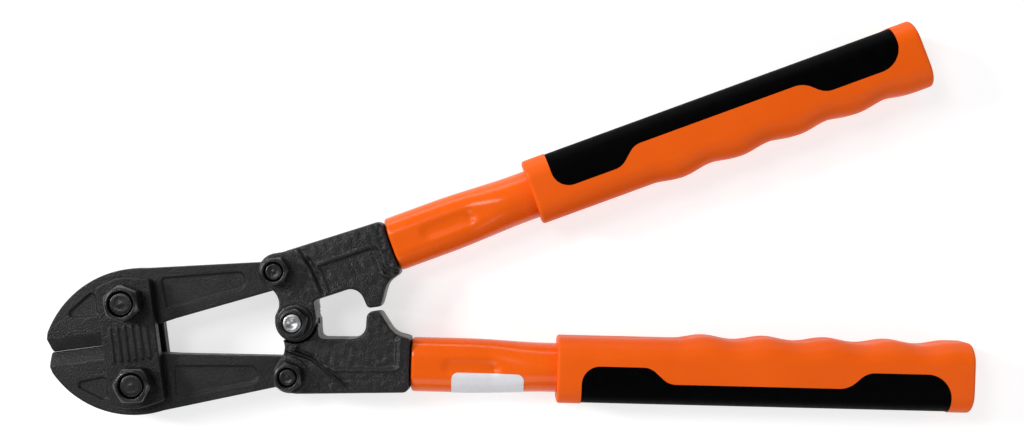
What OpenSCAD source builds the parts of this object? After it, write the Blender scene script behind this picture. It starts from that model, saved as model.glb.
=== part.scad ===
// Bolt cutters of the 300 mm size, lying flat with the jaws closed.
// The origin is on the axis of the centre bolt, at the level of the bench. +X runs along the head
// towards the handles, +Y towards the upper handle and +Z up. Each module of the head is drawn about
// the tool's mid-plane and lifted by mid_z, the height of that plane above the bench.

/* [Linkage] */
// Distance of the jaw pivots ahead of the centre bolt
jaw_pivot_x = 54.4; // [54:0.1:54.8]
// Distance of the jaw pivots from the head's axis
jaw_pivot_y = 13.4; // [13.2:0.1:13.6]
// Distance of the lever pivots ahead of the centre bolt
lever_pivot_x = 4.1; // [3.9:0.1:4.3]
// Distance of the lever pivots from the head's axis
lever_pivot_y = 17.4; // [17.2:0.1:17.6]
// Opening play of the upper jaw's pivot hole, across the head
pivot_play = 2.5; // [2.4:0.1:2.8]

/* [Jaws and straps] */
// Thickness of a jaw
jaw_t = 6; // [5.6:0.1:6.4]
// Width of the ground bevel of the cutting edge
bevel_w = 4.4; // [3:0.1:5]
// Gap between the two cutting edges when closed
edge_gap = 0.3; // [0.2:0.1:0.6]
// Thickness of a strap
strap_t = 4.1; // [3.5:0.1:4.5]
// Depth of the forged pockets
pocket_depth = 0.7; // [0.3:0.1:1]

/* [Levers] */
// Thickness of the cast levers
lever_t = 14; // [13.6:0.2:14.4]
// Angle between the upper handle and the head's axis
upper_angle = 12.65; // [12:0.05:13]
// Angle between the lower handle and the head's axis
lower_angle = 8.8; // [8.5:0.05:9.1]
// Distance of the upper handle's axis from the centre bolt
upper_offset = 12.9; // [12.7:0.1:13.1]
// Distance of the lower handle's axis from the centre bolt
lower_offset = 13.7; // [13.6:0.1:13.8]
// Radius of the eyes of the lap joint
eye_r = 6.8; // [6.6:0.1:6.9]
// Radius of the ears at the lever pivots
ear_r = 6.1; // [6:0.1:6.2]

/* [Handles] */
// Radius of the round part of the tube
tube_r = 8.2; // [8:0.1:8.3]
// Wall of the tube
tube_wall = 1.5; // [1.2:0.1:1.6]
// Width of the tube where it is pressed flat on the tang
flat_w = 18.2; // [17.8:0.1:18.4]
// Thickness of the tube where it is pressed flat
flat_t = 12.8; // [12.6:0.1:13]
// Thickness of a grip
grip_t = 22; // [21.6:0.1:22]
// Where a grip ends, along the handle
grip_end = 224.8; // [224.5:0.1:228]
// How far the upper grip sits beyond its nominal place along the tube
upper_grip_shift = 0.7; // [0:0.1:0.8]
// How far the lower grip sits beyond its nominal place along the tube
lower_grip_shift = -0.6; // [-0.8:0.1:0]
// Pitch of the finger waves
wave_pitch = 20.6; // [20.2:0.1:20.8]
// Height of the finger waves, from valley to crest
wave_h = 1.3; // [0.5:0.1:1.8]

/* [Hidden] */
$fn = 64;

// Colours of the finished parts
black_steel = [0.13, 0.13, 0.14];
cast_black = [0.16, 0.16, 0.17];
bright_steel = [0.78, 0.78, 0.8];
orange_paint = [0.93, 0.4, 0.06];
soft_black = [0.03, 0.03, 0.035];
label_white = [0.93, 0.93, 0.95];

// Half of the grip's thickness lies under the mid-plane, and the bolt heads end level with it
mid_z = 11;
// Gap between faces that slide on each other
slip = 0.2;
// Radial clearance of a pivot bolt in the part that turns on it
running = 0.05;
// Radial clearance of a bolt in the part that it is clamped to
seat = 0.03;
// How far a cutting shape runs past the faces it cuts
past = 1;

// Pivot bolts: shank radius, hexagon across flats (slimmer than standard nuts) and nut heights
m8_r = 4;
m8_flats = 11;
m8_nut_h = 6.5;
m6_r = 3;
m6_flats = 8.8;
m6_nut_h = 5;
washer_r = 5.8;
washer_t = 1.2;
// A bolt's end stands this far below the top of its nut
end_recess = 0.4;

jaw_pivot = [-jaw_pivot_x, jaw_pivot_y];
lever_pivot = [-lever_pivot_x, lever_pivot_y];
jaw_half = jaw_t / 2;
lever_half = lever_t / 2;
strap_base = jaw_half + slip;
strap_top = strap_base + strap_t;

// The jaw's back is one arc from the nose to the tail
back_centre = [-53.9, -8.5];
back_r = 32.9;
back_from = 152.5;
back_to = 80;
mouth_x = -61.9;
// Where the rounded end of the tail starts and ends, round the lever pivot
boss_from = 142;
boss_to = -70;
// Radius of the tail's rounded end, and its clearance from the slot of the fork
tail_r = 5.6;
tail_clear = 0.8;

// The lever's end face, where its collar meets the tube
collar_x = 38.2;
tube_x = 38.4;
flat_end_x = 65.6;
round_x = 78.6;
tube_end_x = 219;
tang_end_x = 64.6;
grip_x = 87.3;
// Where the first finger wave starts
wave_x = 126;
wave_count = 4.5;
grip_outer = 11.3;
grip_inner = 10.7;
// Thickness of the soft inlay
inlay_t = 2;
// Room between the tube's end and the bottom of the grip's bore
end_gap = 0.3;

// ---- plane geometry ----

function xy(p) = [p[0], p[1]];
function unit(v) = v / norm(v);
function spun(p, angle) = [
    p[0] * cos(angle) - p[1] * sin(angle),
    p[0] * sin(angle) + p[1] * cos(angle)
];
function arc(centre, r, from, to, steps) = [
    for (i = [0:steps])
        let (angle = from + (to - from) * i / steps)
        centre + r * [cos(angle), sin(angle)]
];

// The arc of radius p[2] that rounds corner p between its neighbours a and b
function corner(a, p, b, steps) =
    let (r = len(p) > 2 ? p[2] : 0)
    r == 0 ? [xy(p)] :
    let (
        u = unit(xy(a) - xy(p)),
        w = unit(xy(b) - xy(p)),
        half = acos(u * w) / 2,
        centre = xy(p) + unit(u + w) * r / sin(half),
        start = xy(p) + u * r / tan(half) - centre,
        end = xy(p) + w * r / tan(half) - centre,
        from = atan2(start[1], start[0]),
        sweep = (atan2(end[1], end[0]) - from + 540) % 360 - 180
    )
    arc(centre, r, from, from + sweep, steps);

// A closed outline whose corners are [x, y] or [x, y, radius]
function rounded(path, steps = 6) =
    let (n = len(path))
    [for (i = [0:n - 1]) each corner(path[(i + n - 1) % n], path[i], path[(i + 1) % n], steps)];

module lift() {
    translate([0, 0, mid_z]) children();
}

// A flat outline as a plate about the mid-plane
module plate(t) {
    linear_extrude(t, center = true) children();
}

// Both faces of a plate of thickness t are sunk by depth inside the outline
module sink(t, depth) {
    for (side = [-1, 1])
        translate([0, 0, side * t / 2]) linear_extrude(2 * depth, center = true) children();
}

// Places its children on the handle: x along the handle, y outwards from the handle's axis
module on_handle(angle, offset) {
    rotate(angle) translate([0, offset, 0]) children();
}

// A section in the handle's YZ plane, run from x = from to x = to
module run(from, to) {
    translate([from, 0, 0]) rotate([90, 0, 90]) linear_extrude(to - from) children();
}

module stadium(w, h) {
    square([w - h, h], center = true);
    for (side = [-1, 1]) translate([side * (w - h) / 2, 0]) circle(d = h);
}

module lower() {
    mirror([0, 1, 0]) children();
}

// ---- fasteners ----

// A hexagon of the given height on z = 0, its top corners turned down to a cone
module hexagon(flats, h) {
    bevel = 0.09 * flats;
    intersection() {
        cylinder(d = flats / cos(30), h = h, $fn = 6);
        rotate_extrude() polygon([
            [0, 0], [0.58 * flats, 0], [0.58 * flats, h - bevel * 0.6],
            [0.58 * flats - bevel * 1.1, h], [0, h]
        ]);
    }
}

module nut(at, base, flats, h, bore, spin) {
    translate([at[0], at[1], base]) rotate(spin) difference() {
        hexagon(flats, h);
        translate([0, 0, -past]) cylinder(r = bore, h = h + 2 * past);
    }
}

// A hexagon head under the part, its underside on the bench, and a shank up to top
module bolt(at, r, flats, head_top, top, spin) {
    translate([at[0], at[1], 0]) {
        translate([0, 0, -mid_z]) rotate(spin) cylinder(d = flats / cos(30), h = head_top + mid_z, $fn = 6);
        translate([0, 0, head_top]) rotate_extrude() polygon([
            [0, -past], [r, -past], [r, top - head_top - 0.5], [r - 0.5, top - head_top], [0, top - head_top]
        ]);
    }
}

module jaw_bolt(at, spin) {
    color(black_steel) lift()
        bolt(at, m8_r, m8_flats, -strap_top, strap_top + m8_nut_h - end_recess, spin);
}

module jaw_nut(at, spin) {
    color(black_steel) lift() nut(at, strap_top, m8_flats, m8_nut_h, m8_r + seat, spin);
}

module lever_bolt(at, spin) {
    color(black_steel) lift()
        bolt(at, m6_r, m6_flats, -lever_half, lever_half + m6_nut_h - end_recess, spin);
}

module lever_nut(at, spin) {
    color(black_steel) lift() nut(at, lever_half, m6_flats, m6_nut_h, m6_r + seat, spin);
}

// ---- jaws ----

module jaw_outline(nose) {
    polygon(concat(
        [[mouth_x, edge_gap / 2]], nose,
        arc(back_centre, back_r, back_from, back_to, 28),
        arc(lever_pivot, tail_r, boss_from, boss_to, 24),
        [[-3.4, 11.5], [-40.7, 5.9], [-60.4, 2.1]]
    ));
}

// The ground bevels that leave a narrow land as the cutting edge
module edge_bevels() {
    land = 0.15;
    for (side = [-1, 1]) run(-90, mouth_x)
        polygon([
            [-past, side * land], [edge_gap / 2, side * land],
            [edge_gap / 2 + bevel_w, side * jaw_half], [edge_gap / 2 + bevel_w, side * (jaw_half + past)],
            [-past, side * (jaw_half + past)]
        ]);
}

// The three-cornered hollow in the nose and the long one in the tail
module jaw_pockets() {
    polygon(rounded([[-77.2, 11.1, 1.2], [-65.6, 10.2, 1.2], [-65.6, 18.9, 1.2]]));
    polygon(rounded([[-43.2, 19.9, 1], [-42.4, 9.6, 1], [-15.4, 13.2, 2.4], [-15.4, 18.5, 2.4]]));
}

module jaw(nose, pivot_hole) {
    color(black_steel) lift() difference() {
        plate(jaw_t) jaw_outline(nose);
        edge_bevels();
        sink(jaw_t, pocket_depth) jaw_pockets();
        translate(lever_pivot) plate(jaw_t + past) circle(m6_r + running);
        plate(jaw_t + past) pivot_hole_at(pivot_hole);
    }
}

// A round pivot hole, widened by play and moved half of it towards the head's axis
module pivot_hole_at(play) {
    translate(jaw_pivot - [0, play / 2]) circle(m8_r + running + play / 2);
}

// Each nose, from the end of the cutting edge to the back; the upper one is ground away further
upper_nose = [[-82.5, edge_gap / 2], [-83, 1.5], [-83.5, 4.7]];
lower_nose = [[-83.1, edge_gap / 2], [-83.4, 1.5], [-83.7, 4.5]];

module upper_jaw() { jaw(upper_nose, pivot_play); }
module lower_jaw() { lower() jaw(lower_nose, 0); }

// ---- straps ----

strap_left = -64;
strap_right = -45.9;
// Corners of the strap's upper half: left end, crown and right end
strap_ends = [[strap_left, 19.5, 1.4], [-56.4, 22.3, 16], [strap_right, 20.1, 1.4]];
rib_count = 6;
rib_pitch = 2.4;
rib_mid = -54.8;
rib_size = [1.1, 11.6];
rib_h = 0.45;

module strap() {
    color(black_steel) {
        difference() {
            translate([0, 0, strap_base]) linear_extrude(strap_t) polygon(rounded(concat(
                strap_ends,
                [for (i = [2:-1:0]) [strap_ends[i][0], -strap_ends[i][1], strap_ends[i][2]]]
            )));
            for (side = [-1, 1]) translate([-jaw_pivot_x, side * jaw_pivot_y, 0])
                cylinder(r = m8_r + seat, h = strap_top + past);
        }
        for (i = [0:rib_count - 1])
            translate([rib_mid + (i - (rib_count - 1) / 2) * rib_pitch, 0, strap_top - rib_h])
                linear_extrude(2 * rib_h) stadium_bar(rib_size);
    }
}

module stadium_bar(size) {
    rotate(90) stadium(size[1], size[0]);
}

module front_strap() { lift() strap(); }
module rear_strap() { lift() mirror([0, 0, 1]) strap(); }

// ---- levers ----

// Where the concave neck between ear and eye is cut out, and its radius
neck_centre = [-11, 7];
neck_r = 6.2;
web_x = 7.1;
// Heights of each lever's edges over its handle's axis: the back above the ear and at the collar,
// and the belly at the collar, beside the stop lug and at the web
upper_back = [10.6, 8.9];
upper_belly = [-9.8, -9.1, -8.6];
lower_back = [10.5, 9.1];
lower_belly = [-9.2, -8.6, -8.4];
// The two sides of each stop lug along the handle, and how far its tip stays from the head's axis
upper_lug = [28.2, 23.6, 1.1];
lower_lug = [27.8, 23.2, 0.17];
lug_r = 1.7;

// A point of the stop lug's tip, level with the head's axis, at handle position x
function lug_corner(x, angle, offset, lug) = [x, (lug[2] - x * sin(angle)) / cos(angle) - offset, lug_r];

// The lever's body in handle coordinates, from the ear round the collar, lug and notch to the web
function lever_body(angle, offset, back, belly, lug) =
    let (ear = spun(lever_pivot, -angle))
    [
        [ear[0], back[0], 2.5], [collar_x, back[1], 2.4], [collar_x, belly[0], 1.2],
        [lug[0] + 4.8, belly[0] - 1.5, 6],
        lug_corner(lug[0], angle, offset, lug), lug_corner(lug[1], angle, offset, lug),
        [lug[1] - 0.4, belly[1], 4.5], [7.8, belly[2], 1.9], [7.2, -offset], [0, -offset],
        [ear[0], ear[1] - offset]
    ];

module lever_plan(angle, offset, back, belly, lug) {
    rotate(angle) translate([0, offset])
        polygon(rounded(lever_body(angle, offset, back, belly, lug)));
    difference() {
        polygon([[-6.2, slip], [web_x, slip], [web_x, 6], lever_pivot, [-8, lever_pivot_y]]);
        translate(neck_centre) circle(neck_r);
    }
    circle(eye_r);
    translate(lever_pivot) circle(ear_r);
}

// The slot of the fork, open where the jaw's tail swings
module fork_slot() {
    boss = tail_r + tail_clear;
    inner = spun([0, -boss], 8.6);
    outer = spun([tail_r + 0.4, 0], 35);
    reach = 25;
    plate(jaw_t + 2 * slip + 0.2) translate(lever_pivot) {
        circle(boss);
        polygon([
            [0, 0], inner, inner + spun([-reach, 0], 8.6), [-reach, reach],
            outer + spun([0, reach], 35), outer
        ]);
    }
}

// Sunk panels between the ridge, the top band and the collar, in handle coordinates
upper_panel = [
    [12.9, 1.6, 0.8], [32.2, 1.2, 1.2], [32.2, -8.8, 0.8], [35.4, -12],
    [30, -24], [20, -24], [12.9, -12, 0.5]
];
lower_panel = [
    [12.8, 1.1, 0.8], [33.4, 0.8, 1.4], [33.4, -8.4, 0.8], [35.4, -11.3],
    [30, -24], [20, -24], [5, -10.3], [0, -4.2, 0.5], [6, -1.9, 6]
];
panel_depth = 0.8;
// How much smaller than the tube's bore the lever's tang is
tang_play = 0.3;

module lever_blank(angle, offset, back, belly, lug, panel) {
    difference() {
        plate(lever_t) lever_plan(angle, offset, back, belly, lug);
        fork_slot();
        sink(lever_t, panel_depth) rotate(angle) translate([0, offset]) polygon(rounded(panel));
        translate(lever_pivot) plate(lever_t + past) circle(m6_r + seat);
    }
    on_handle(angle, offset) run(collar_x - past, tang_end_x)
        stadium(flat_w - 2 * tube_wall - tang_play, flat_t - 2 * tube_wall - tang_play);
}

// The half of the lap joint that is cleared for the other lever's eye: side 1 is the front half
module lap(side) {
    clear = eye_r + 0.4;
    translate([0, 0, side > 0 ? -slip / 2 : -lever_half - past])
        cylinder(r = clear, h = lever_half + past + slip / 2);
}

module upper_lever() {
    color(cast_black) lift() difference() {
        lever_blank(upper_angle, upper_offset, upper_back, upper_belly, upper_lug, upper_panel);
        lap(-1);
        plate(lever_t + past) circle(m6_r + running);
    }
}

module lower_lever() {
    color(cast_black) lift() lower() difference() {
        lever_blank(lower_angle, lower_offset, lower_back, lower_belly, lower_lug, lower_panel);
        lap(1);
        plate(lever_t + past) circle(m6_r + seat);
    }
}

// ---- handles ----

// The tube's outer form, drawn inwards by inset: pressed flat on the tang, round in the grip
module tube_form(inset, from, to) {
    side = flat_w / 2 - inset;
    face = flat_t / 2 - inset;
    r = tube_r - inset;
    intersection() {
        rotate([0, 90, 0]) rotate_extrude() polygon([
            [0, from], [side, from], [side, flat_end_x], [r, round_x], [r, to], [0, to]
        ]);
        // The wedge between the two pressed faces, which runs out on the round part
        rotate([90, 0, 0]) linear_extrude(flat_w + past, center = true) polygon([
            [from - past, face], [flat_end_x, face], [round_x, r + slip], [to + past, r + slip],
            [to + past, -r - slip], [round_x, -r - slip], [flat_end_x, -face], [from - past, -face]
        ]);
    }
}

// Where the crimp that locks the tube on its tang starts and ends
crimp_x = [49.6, 64];
crimp_r = 6;
crimp_depth = 0.9;

module tube(angle, offset) {
    color(orange_paint) lift() on_handle(angle, offset) difference() {
        tube_form(0, tube_x, tube_end_x);
        tube_form(tube_wall, tube_x - past, tube_end_x + past);
        for (side = [-1, 1]) translate([0, 0, side * (flat_t / 2 + crimp_r - crimp_depth)])
            run(crimp_x[0], crimp_x[1]) circle(crimp_r);
    }
}

function wave(x) = wave_h / 2 * (1 - cos(360 * (x - wave_x) / wave_pitch));

module grip_plan() {
    steps = 54;
    wave_end = wave_x + wave_count * wave_pitch;
    polygon(concat(
        rounded([
            [wave_x, -grip_inner], [grip_x + 0.6, -grip_inner, 1], [grip_x, 0],
            [grip_x + 0.6, grip_outer, 1.4], [grip_end - 0.4, grip_outer, 2.2],
            [grip_end, -grip_inner - wave_h, 2.2], [wave_end + 0.4, -grip_inner - wave_h]
        ]),
        [for (i = [steps:-1:1])
            let (x = wave_x + wave_count * wave_pitch * i / steps)
            [x, -grip_inner - wave(x)]]
    ));
}

// A block with rounded long edges, from the grip's front to its end
module grip_section(inset, from, to) {
    low = -grip_inner - wave_h - 0.2 + inset;
    high = grip_outer - inset;
    face = grip_t / 2 - inset;
    r = 7 - inset;
    run(from, to) polygon(rounded([
        [low, -face, r], [high, -face, r], [high, face, r], [low, face, r]
    ], 7));
}

module grip_blank() {
    intersection() {
        plate(grip_t + past) grip_plan();
        grip_section(0, grip_x - past, grip_end + past);
    }
}

// The soft inlay's outline on the grip's face: two lobes joined by a narrow band
inlay_path = [
    [95.3, 14], [95.3, -1.9, 6], [117.7, -1.9, 6], [123.8, 3.45, 6],
    [182.5, 3.45, 8], [188.5, -1.9, 7], [215.9, -1.9, 8], [216.9, 14]
];

module inlay() {
    difference() {
        plate(grip_t + past) polygon(rounded(inlay_path));
        grip_section(inlay_t, 90, 222);
    }
}

module grip(angle, offset, shift) {
    color(orange_paint) lift() on_handle(angle, offset) difference() {
        translate([shift, 0, 0]) difference() {
            grip_blank();
            inlay();
        }
        run(grip_x - 2 * past, tube_end_x + end_gap) circle(tube_r + seat);
    }
}

module grip_insert(angle, offset, shift) {
    color(soft_black) lift() on_handle(angle, offset) translate([shift, 0, 0]) intersection() {
        grip_blank();
        inlay();
    }
}

module upper_tube() { tube(upper_angle, upper_offset); }
module lower_tube() { lower() tube(lower_angle, lower_offset); }
module upper_grip() { grip(upper_angle, upper_offset, upper_grip_shift); }
module lower_grip() { lower() grip(lower_angle, lower_offset, lower_grip_shift); }
module upper_grip_insert() { grip_insert(upper_angle, upper_offset, upper_grip_shift); }
module lower_grip_insert() { lower() grip_insert(lower_angle, lower_offset, lower_grip_shift); }

// A blank paper label over the outer edge of the lower tube
label_x = [51.9, 75.8];
label_t = 0.15;
label_edge = 1.8;

module tube_label() {
    color(label_white) lift() lower() on_handle(lower_angle, lower_offset) intersection() {
        difference() {
            tube_form(-label_t, tube_x, tube_end_x);
            tube_form(0, tube_x - past, tube_end_x + past);
        }
        translate([label_x[0], label_edge, -grip_t / 2])
            cube([label_x[1] - label_x[0], grip_t, grip_t]);
    }
}

// ---- fasteners in their places ----

function below(p) = [p[0], -p[1]];

module upper_jaw_bolt() { jaw_bolt(jaw_pivot, 0); }
module lower_jaw_bolt() { jaw_bolt(below(jaw_pivot), 30); }
module upper_jaw_nut() { jaw_nut(jaw_pivot, 32); }
module lower_jaw_nut() { jaw_nut(below(jaw_pivot), -8); }
module upper_lever_bolt() { lever_bolt(lever_pivot, 0); }
module lower_lever_bolt() { lever_bolt(below(lever_pivot), 15); }
module upper_lever_nut() { lever_nut(lever_pivot, 0); }
module lower_lever_nut() { lever_nut(below(lever_pivot), 30); }

centre_base = lever_half + slip + washer_t;

module centre_bolt() {
    dimple_r = 1.4;
    color(bright_steel) lift() difference() {
        bolt([0, 0], m6_r, m6_flats, -lever_half, centre_base + m6_nut_h + end_recess, 0);
        translate([0, 0, centre_base + m6_nut_h - 0.4]) cylinder(r = dimple_r, h = m6_nut_h);
    }
}

module centre_washer() {
    color(black_steel) lift() translate([0, 0, lever_half + slip]) difference() {
        cylinder(r = washer_r, h = washer_t);
        translate([0, 0, -past]) cylinder(r = m6_r + seat, h = washer_t + 2 * past);
    }
}

module centre_nut() {
    color(black_steel) lift() nut([0, 0], centre_base, m6_flats, m6_nut_h, m6_r + seat, 10);
}

upper_jaw();
lower_jaw();
front_strap();
rear_strap();
upper_jaw_bolt();
lower_jaw_bolt();
upper_jaw_nut();
lower_jaw_nut();
upper_lever();
lower_lever();
upper_lever_bolt();
lower_lever_bolt();
upper_lever_nut();
lower_lever_nut();
centre_bolt();
centre_washer();
centre_nut();
upper_tube();
lower_tube();
upper_grip();
lower_grip();
upper_grip_insert();
lower_grip_insert();
tube_label();
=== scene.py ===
"""Looks of the bolt cutters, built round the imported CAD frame.

Lengths in this script are millimetres until a mesh is made. z is counted from the tool's
mid-plane, MID above the bench. A handle's own coordinates are x along it, v outwards, z.
"""
import math

import bmesh
import bpy
import numpy as np
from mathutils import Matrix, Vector


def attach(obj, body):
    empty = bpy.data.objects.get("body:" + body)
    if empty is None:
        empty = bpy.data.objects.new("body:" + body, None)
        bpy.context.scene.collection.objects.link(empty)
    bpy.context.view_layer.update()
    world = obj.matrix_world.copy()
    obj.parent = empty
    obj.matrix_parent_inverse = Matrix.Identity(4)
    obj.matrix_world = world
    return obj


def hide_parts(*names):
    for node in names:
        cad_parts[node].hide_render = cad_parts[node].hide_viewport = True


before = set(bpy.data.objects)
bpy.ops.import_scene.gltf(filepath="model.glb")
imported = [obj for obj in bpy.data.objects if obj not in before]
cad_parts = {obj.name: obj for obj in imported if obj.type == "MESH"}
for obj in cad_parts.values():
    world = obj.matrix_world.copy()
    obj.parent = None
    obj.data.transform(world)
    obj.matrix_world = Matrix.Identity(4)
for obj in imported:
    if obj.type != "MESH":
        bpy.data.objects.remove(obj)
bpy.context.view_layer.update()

MM = 0.001
MID = 11.0
JAW_PIVOT = np.array([-54.4, 13.4])
LEVER_PIVOT = np.array([-4.1, 17.4])
# The gap left between the two levers where they lap and along the head's axis
SLIP = 0.2
# Radii of the two sizes of shank, and what a bore adds to that where the bolt is fixed in it and
# where the piece turns on the bolt
JAW_SHANK, LEVER_SHANK = 4.0, 3.0
SNUG, FREE = 0.03, 0.05

# A handle: its axis's angle and offset from the centre bolt, how far its grip is shifted along it,
# and its lever's edges over that axis: the back above the ear and at the collar, the belly at the
# collar, beside the stop lug and at the web, and the lug's two sides and distance from the head's axis
UPPER = {
    "name": "upper", "side": 1, "angle": math.radians(12.65), "offset": 12.9, "shift": 0.7,
    "back": (10.6, 8.9), "belly": (-9.8, -9.1, -8.6), "lug": (28.2, 23.6, 1.1),
}
LOWER = {
    "name": "lower", "side": -1, "angle": math.radians(8.8), "offset": 13.7, "shift": -0.6,
    "back": (10.5, 9.1), "belly": (-9.2, -8.6, -8.4), "lug": (27.8, 23.2, 0.17),
}


# ---------------------------------------------------------------- plane geometry

def unit(v):
    return v / np.linalg.norm(v)


def arc(centre, r, start, end, steps):
    """Points round an arc from start to end, in degrees."""
    a = np.radians(np.linspace(start, end, steps + 1))
    return np.array(centre) + r * np.stack([np.cos(a), np.sin(a)], 1)


def rounded(path, steps=8):
    """A closed outline from corners (x, y) or (x, y, radius)."""
    out = []
    n = len(path)
    for i, corner in enumerate(path):
        p = np.array(corner[:2], float)
        r = corner[2] if len(corner) > 2 else 0
        if r == 0:
            out.append(p)
            continue
        u = unit(np.array(path[i - 1][:2]) - p)
        w = unit(np.array(path[(i + 1) % n][:2]) - p)
        half = math.acos(np.clip(u @ w, -1, 1)) / 2
        centre = p + unit(u + w) * r / math.sin(half)
        a0 = math.atan2(*(p + u * r / math.tan(half) - centre)[::-1])
        a1 = math.atan2(*(p + w * r / math.tan(half) - centre)[::-1])
        sweep = (a1 - a0 + 3 * math.pi) % (2 * math.pi) - math.pi
        for t in np.linspace(0, 1, steps + 1):
            turn = a0 + sweep * t
            out.append(centre + r * np.array([math.cos(turn), math.sin(turn)]))
    return np.array(out)


def to_head(points, hand):
    """Handle coordinates (x, v) to head coordinates, on the upper side of the head."""
    p = np.atleast_2d(np.array(points, float))
    c, s = math.cos(hand["angle"]), math.sin(hand["angle"])
    v = p[:, 1] + hand["offset"]
    return np.stack([p[:, 0] * c - v * s, p[:, 0] * s + v * c], 1)


def segment_distance(points, X, Y, closed):
    """Distance to a line through points, or to the closed outline of them."""
    best = np.full(X.shape, 1e12)
    last = len(points) if closed else len(points) - 1
    for i in range(last):
        (x0, y0), (x1, y1) = points[i], points[(i + 1) % len(points)]
        ex, ey = x1 - x0, y1 - y0
        wx, wy = X - x0, Y - y0
        t = np.clip((wx * ex + wy * ey) / (ex * ex + ey * ey + 1e-12), 0, 1)
        best = np.minimum(best, (wx - ex * t) ** 2 + (wy - ey * t) ** 2)
    return np.sqrt(best)


def polygon(points, X, Y):
    """Signed distance to a closed outline, negative inside."""
    inside = np.zeros(X.shape, bool)
    for i in range(len(points)):
        (x0, y0), (x1, y1) = points[i], points[(i + 1) % len(points)]
        if y0 == y1:
            continue
        crosses = (y0 <= Y) != (y1 <= Y)
        inside ^= crosses & (X < x0 + (Y - y0) * (x1 - x0) / (y1 - y0))
    return segment_distance(points, X, Y, True) * np.where(inside, -1, 1)


def disc(centre, r, X, Y):
    return np.hypot(X - centre[0], Y - centre[1]) - r


def step01(a, b, x):
    """A smooth step, 0 at a and 1 at b; a may be the larger."""
    t = np.clip((x - a) / (b - a), 0, 1)
    return t * t * (3 - 2 * t)


def both(a, b, r):
    """Intersection of two distance fields with its edge rounded to radius r."""
    return np.minimum(-r, np.maximum(a, b)) + np.hypot(np.maximum(a + r, 0), np.maximum(b + r, 0))


def either(a, b, r):
    """Union of two distance fields with its inner corner filled to radius r."""
    return np.maximum(r, np.minimum(a, b)) - np.hypot(np.maximum(r - a, 0), np.maximum(r - b, 0))


def bead(points, X, Y, width):
    """1 on a line, falling off over the width to both sides."""
    return np.exp(-(segment_distance(points, X, Y, False) / width) ** 2)


def ripple(X, Y, scale, seed, waves=14):
    """Smooth uneven relief of about unit height, as a casting's skin has."""
    rng = np.random.default_rng(seed)
    total = np.zeros(np.broadcast(X, Y).shape)
    for _ in range(waves):
        a = rng.uniform(0, 2 * math.pi)
        f = 2 * math.pi / (scale * rng.uniform(0.6, 1.8))
        total += np.sin(f * (X * math.cos(a) + Y * math.sin(a)) + rng.uniform(0, 6.28))
    return total / math.sqrt(waves)


# ---------------------------------------------------------------- meshes

def make(name, verts, faces, side=1):
    """A smooth mesh object from millimetre points about the mid-plane, mirrored for the lower side."""
    v = np.array(verts, float)
    v = np.stack([v[:, 0], v[:, 1] * side, v[:, 2] + MID], 1) * MM
    me = bpy.data.meshes.new(name)
    me.from_pydata(v.tolist(), [], faces if isinstance(faces, list) else faces.tolist())
    me.update()
    bm = bmesh.new()
    bm.from_mesh(me)
    bmesh.ops.recalc_face_normals(bm, faces=bm.faces)
    bm.to_mesh(me)
    bm.free()
    me.polygons.foreach_set("use_smooth", [True] * len(me.polygons))
    ob = bpy.data.objects.new(name, me)
    bpy.context.scene.collection.objects.link(ob)
    return ob


def sharpen(ob, degrees):
    """Edges that turn by more than this many degrees are shaded sharp."""
    bm = bmesh.new()
    bm.from_mesh(ob.data)
    limit = math.radians(degrees)
    for e in bm.edges:
        e.smooth = len(e.link_faces) == 2 and e.calc_face_angle(0) < limit
    bm.to_mesh(ob.data)
    bm.free()
    return ob


def field_mesh(name, field, low, high, step, side=1):
    """The zero surface of field(X, Y, Z), meshed with one vertex to each grid cell it crosses."""
    axes = [np.arange(low[i] - 2 * step, high[i] + 3 * step, step) for i in range(3)]
    X, Y = np.meshgrid(axes[0], axes[1], indexing="ij")
    F = field(X[:, :, None], Y[:, :, None], axes[2][None, None, :])
    # A grid point on the surface counts as just outside it
    F = np.where(np.abs(F) < 1e-9, 1e-9, F)
    n = F.shape
    inside = F < 0
    count = sum(
        inside[i:n[0] - 1 + i, j:n[1] - 1 + j, k:n[2] - 1 + k].astype(np.int8)
        for i in (0, 1) for j in (0, 1) for k in (0, 1)
    )
    cell = np.array(np.nonzero((count > 0) & (count < 8)))
    index = np.full(count.shape, -1, np.int64)
    index[tuple(cell)] = np.arange(cell.shape[1])
    total, hits = np.zeros((cell.shape[1], 3)), np.zeros(cell.shape[1])
    for axis in range(3):
        others = [a for a in range(3) if a != axis]
        for du in (0, 1):
            for dv in (0, 1):
                offset = np.zeros(3, int)
                offset[others[0]], offset[others[1]] = du, dv
                a = cell + offset[:, None]
                b = a.copy()
                b[axis] += 1
                fa, fb = F[tuple(a)], F[tuple(b)]
                cross = (fa < 0) != (fb < 0)
                t = np.where(cross, fa / np.where(cross, fa - fb, 1), 0)
                point = np.tile(offset.astype(float), (cell.shape[1], 1))
                point[:, axis] += t
                total[cross] += point[cross]
                hits[cross] += 1
    verts = (cell.T + total / hits[:, None]) * step + np.array([a[0] for a in axes])
    quads = []
    for axis in range(3):
        u, v = [a for a in range(3) if a != axis]
        first = [slice(1, -1)] * 3
        first[axis] = slice(0, -1)
        second = list(first)
        second[axis] = slice(1, None)
        changed = inside[tuple(first)] != inside[tuple(second)]
        at = np.array(np.nonzero(changed))
        for a in (u, v):
            at[a] += 1
        ring = []
        for du, dv in ((0, 0), (1, 0), (1, 1), (0, 1)):
            c = at.copy()
            c[u] -= du
            c[v] -= dv
            ring.append(index[tuple(c)])
        quads.append(np.stack(ring, 1))
    return make(name, verts, np.concatenate(quads), side)


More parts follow.
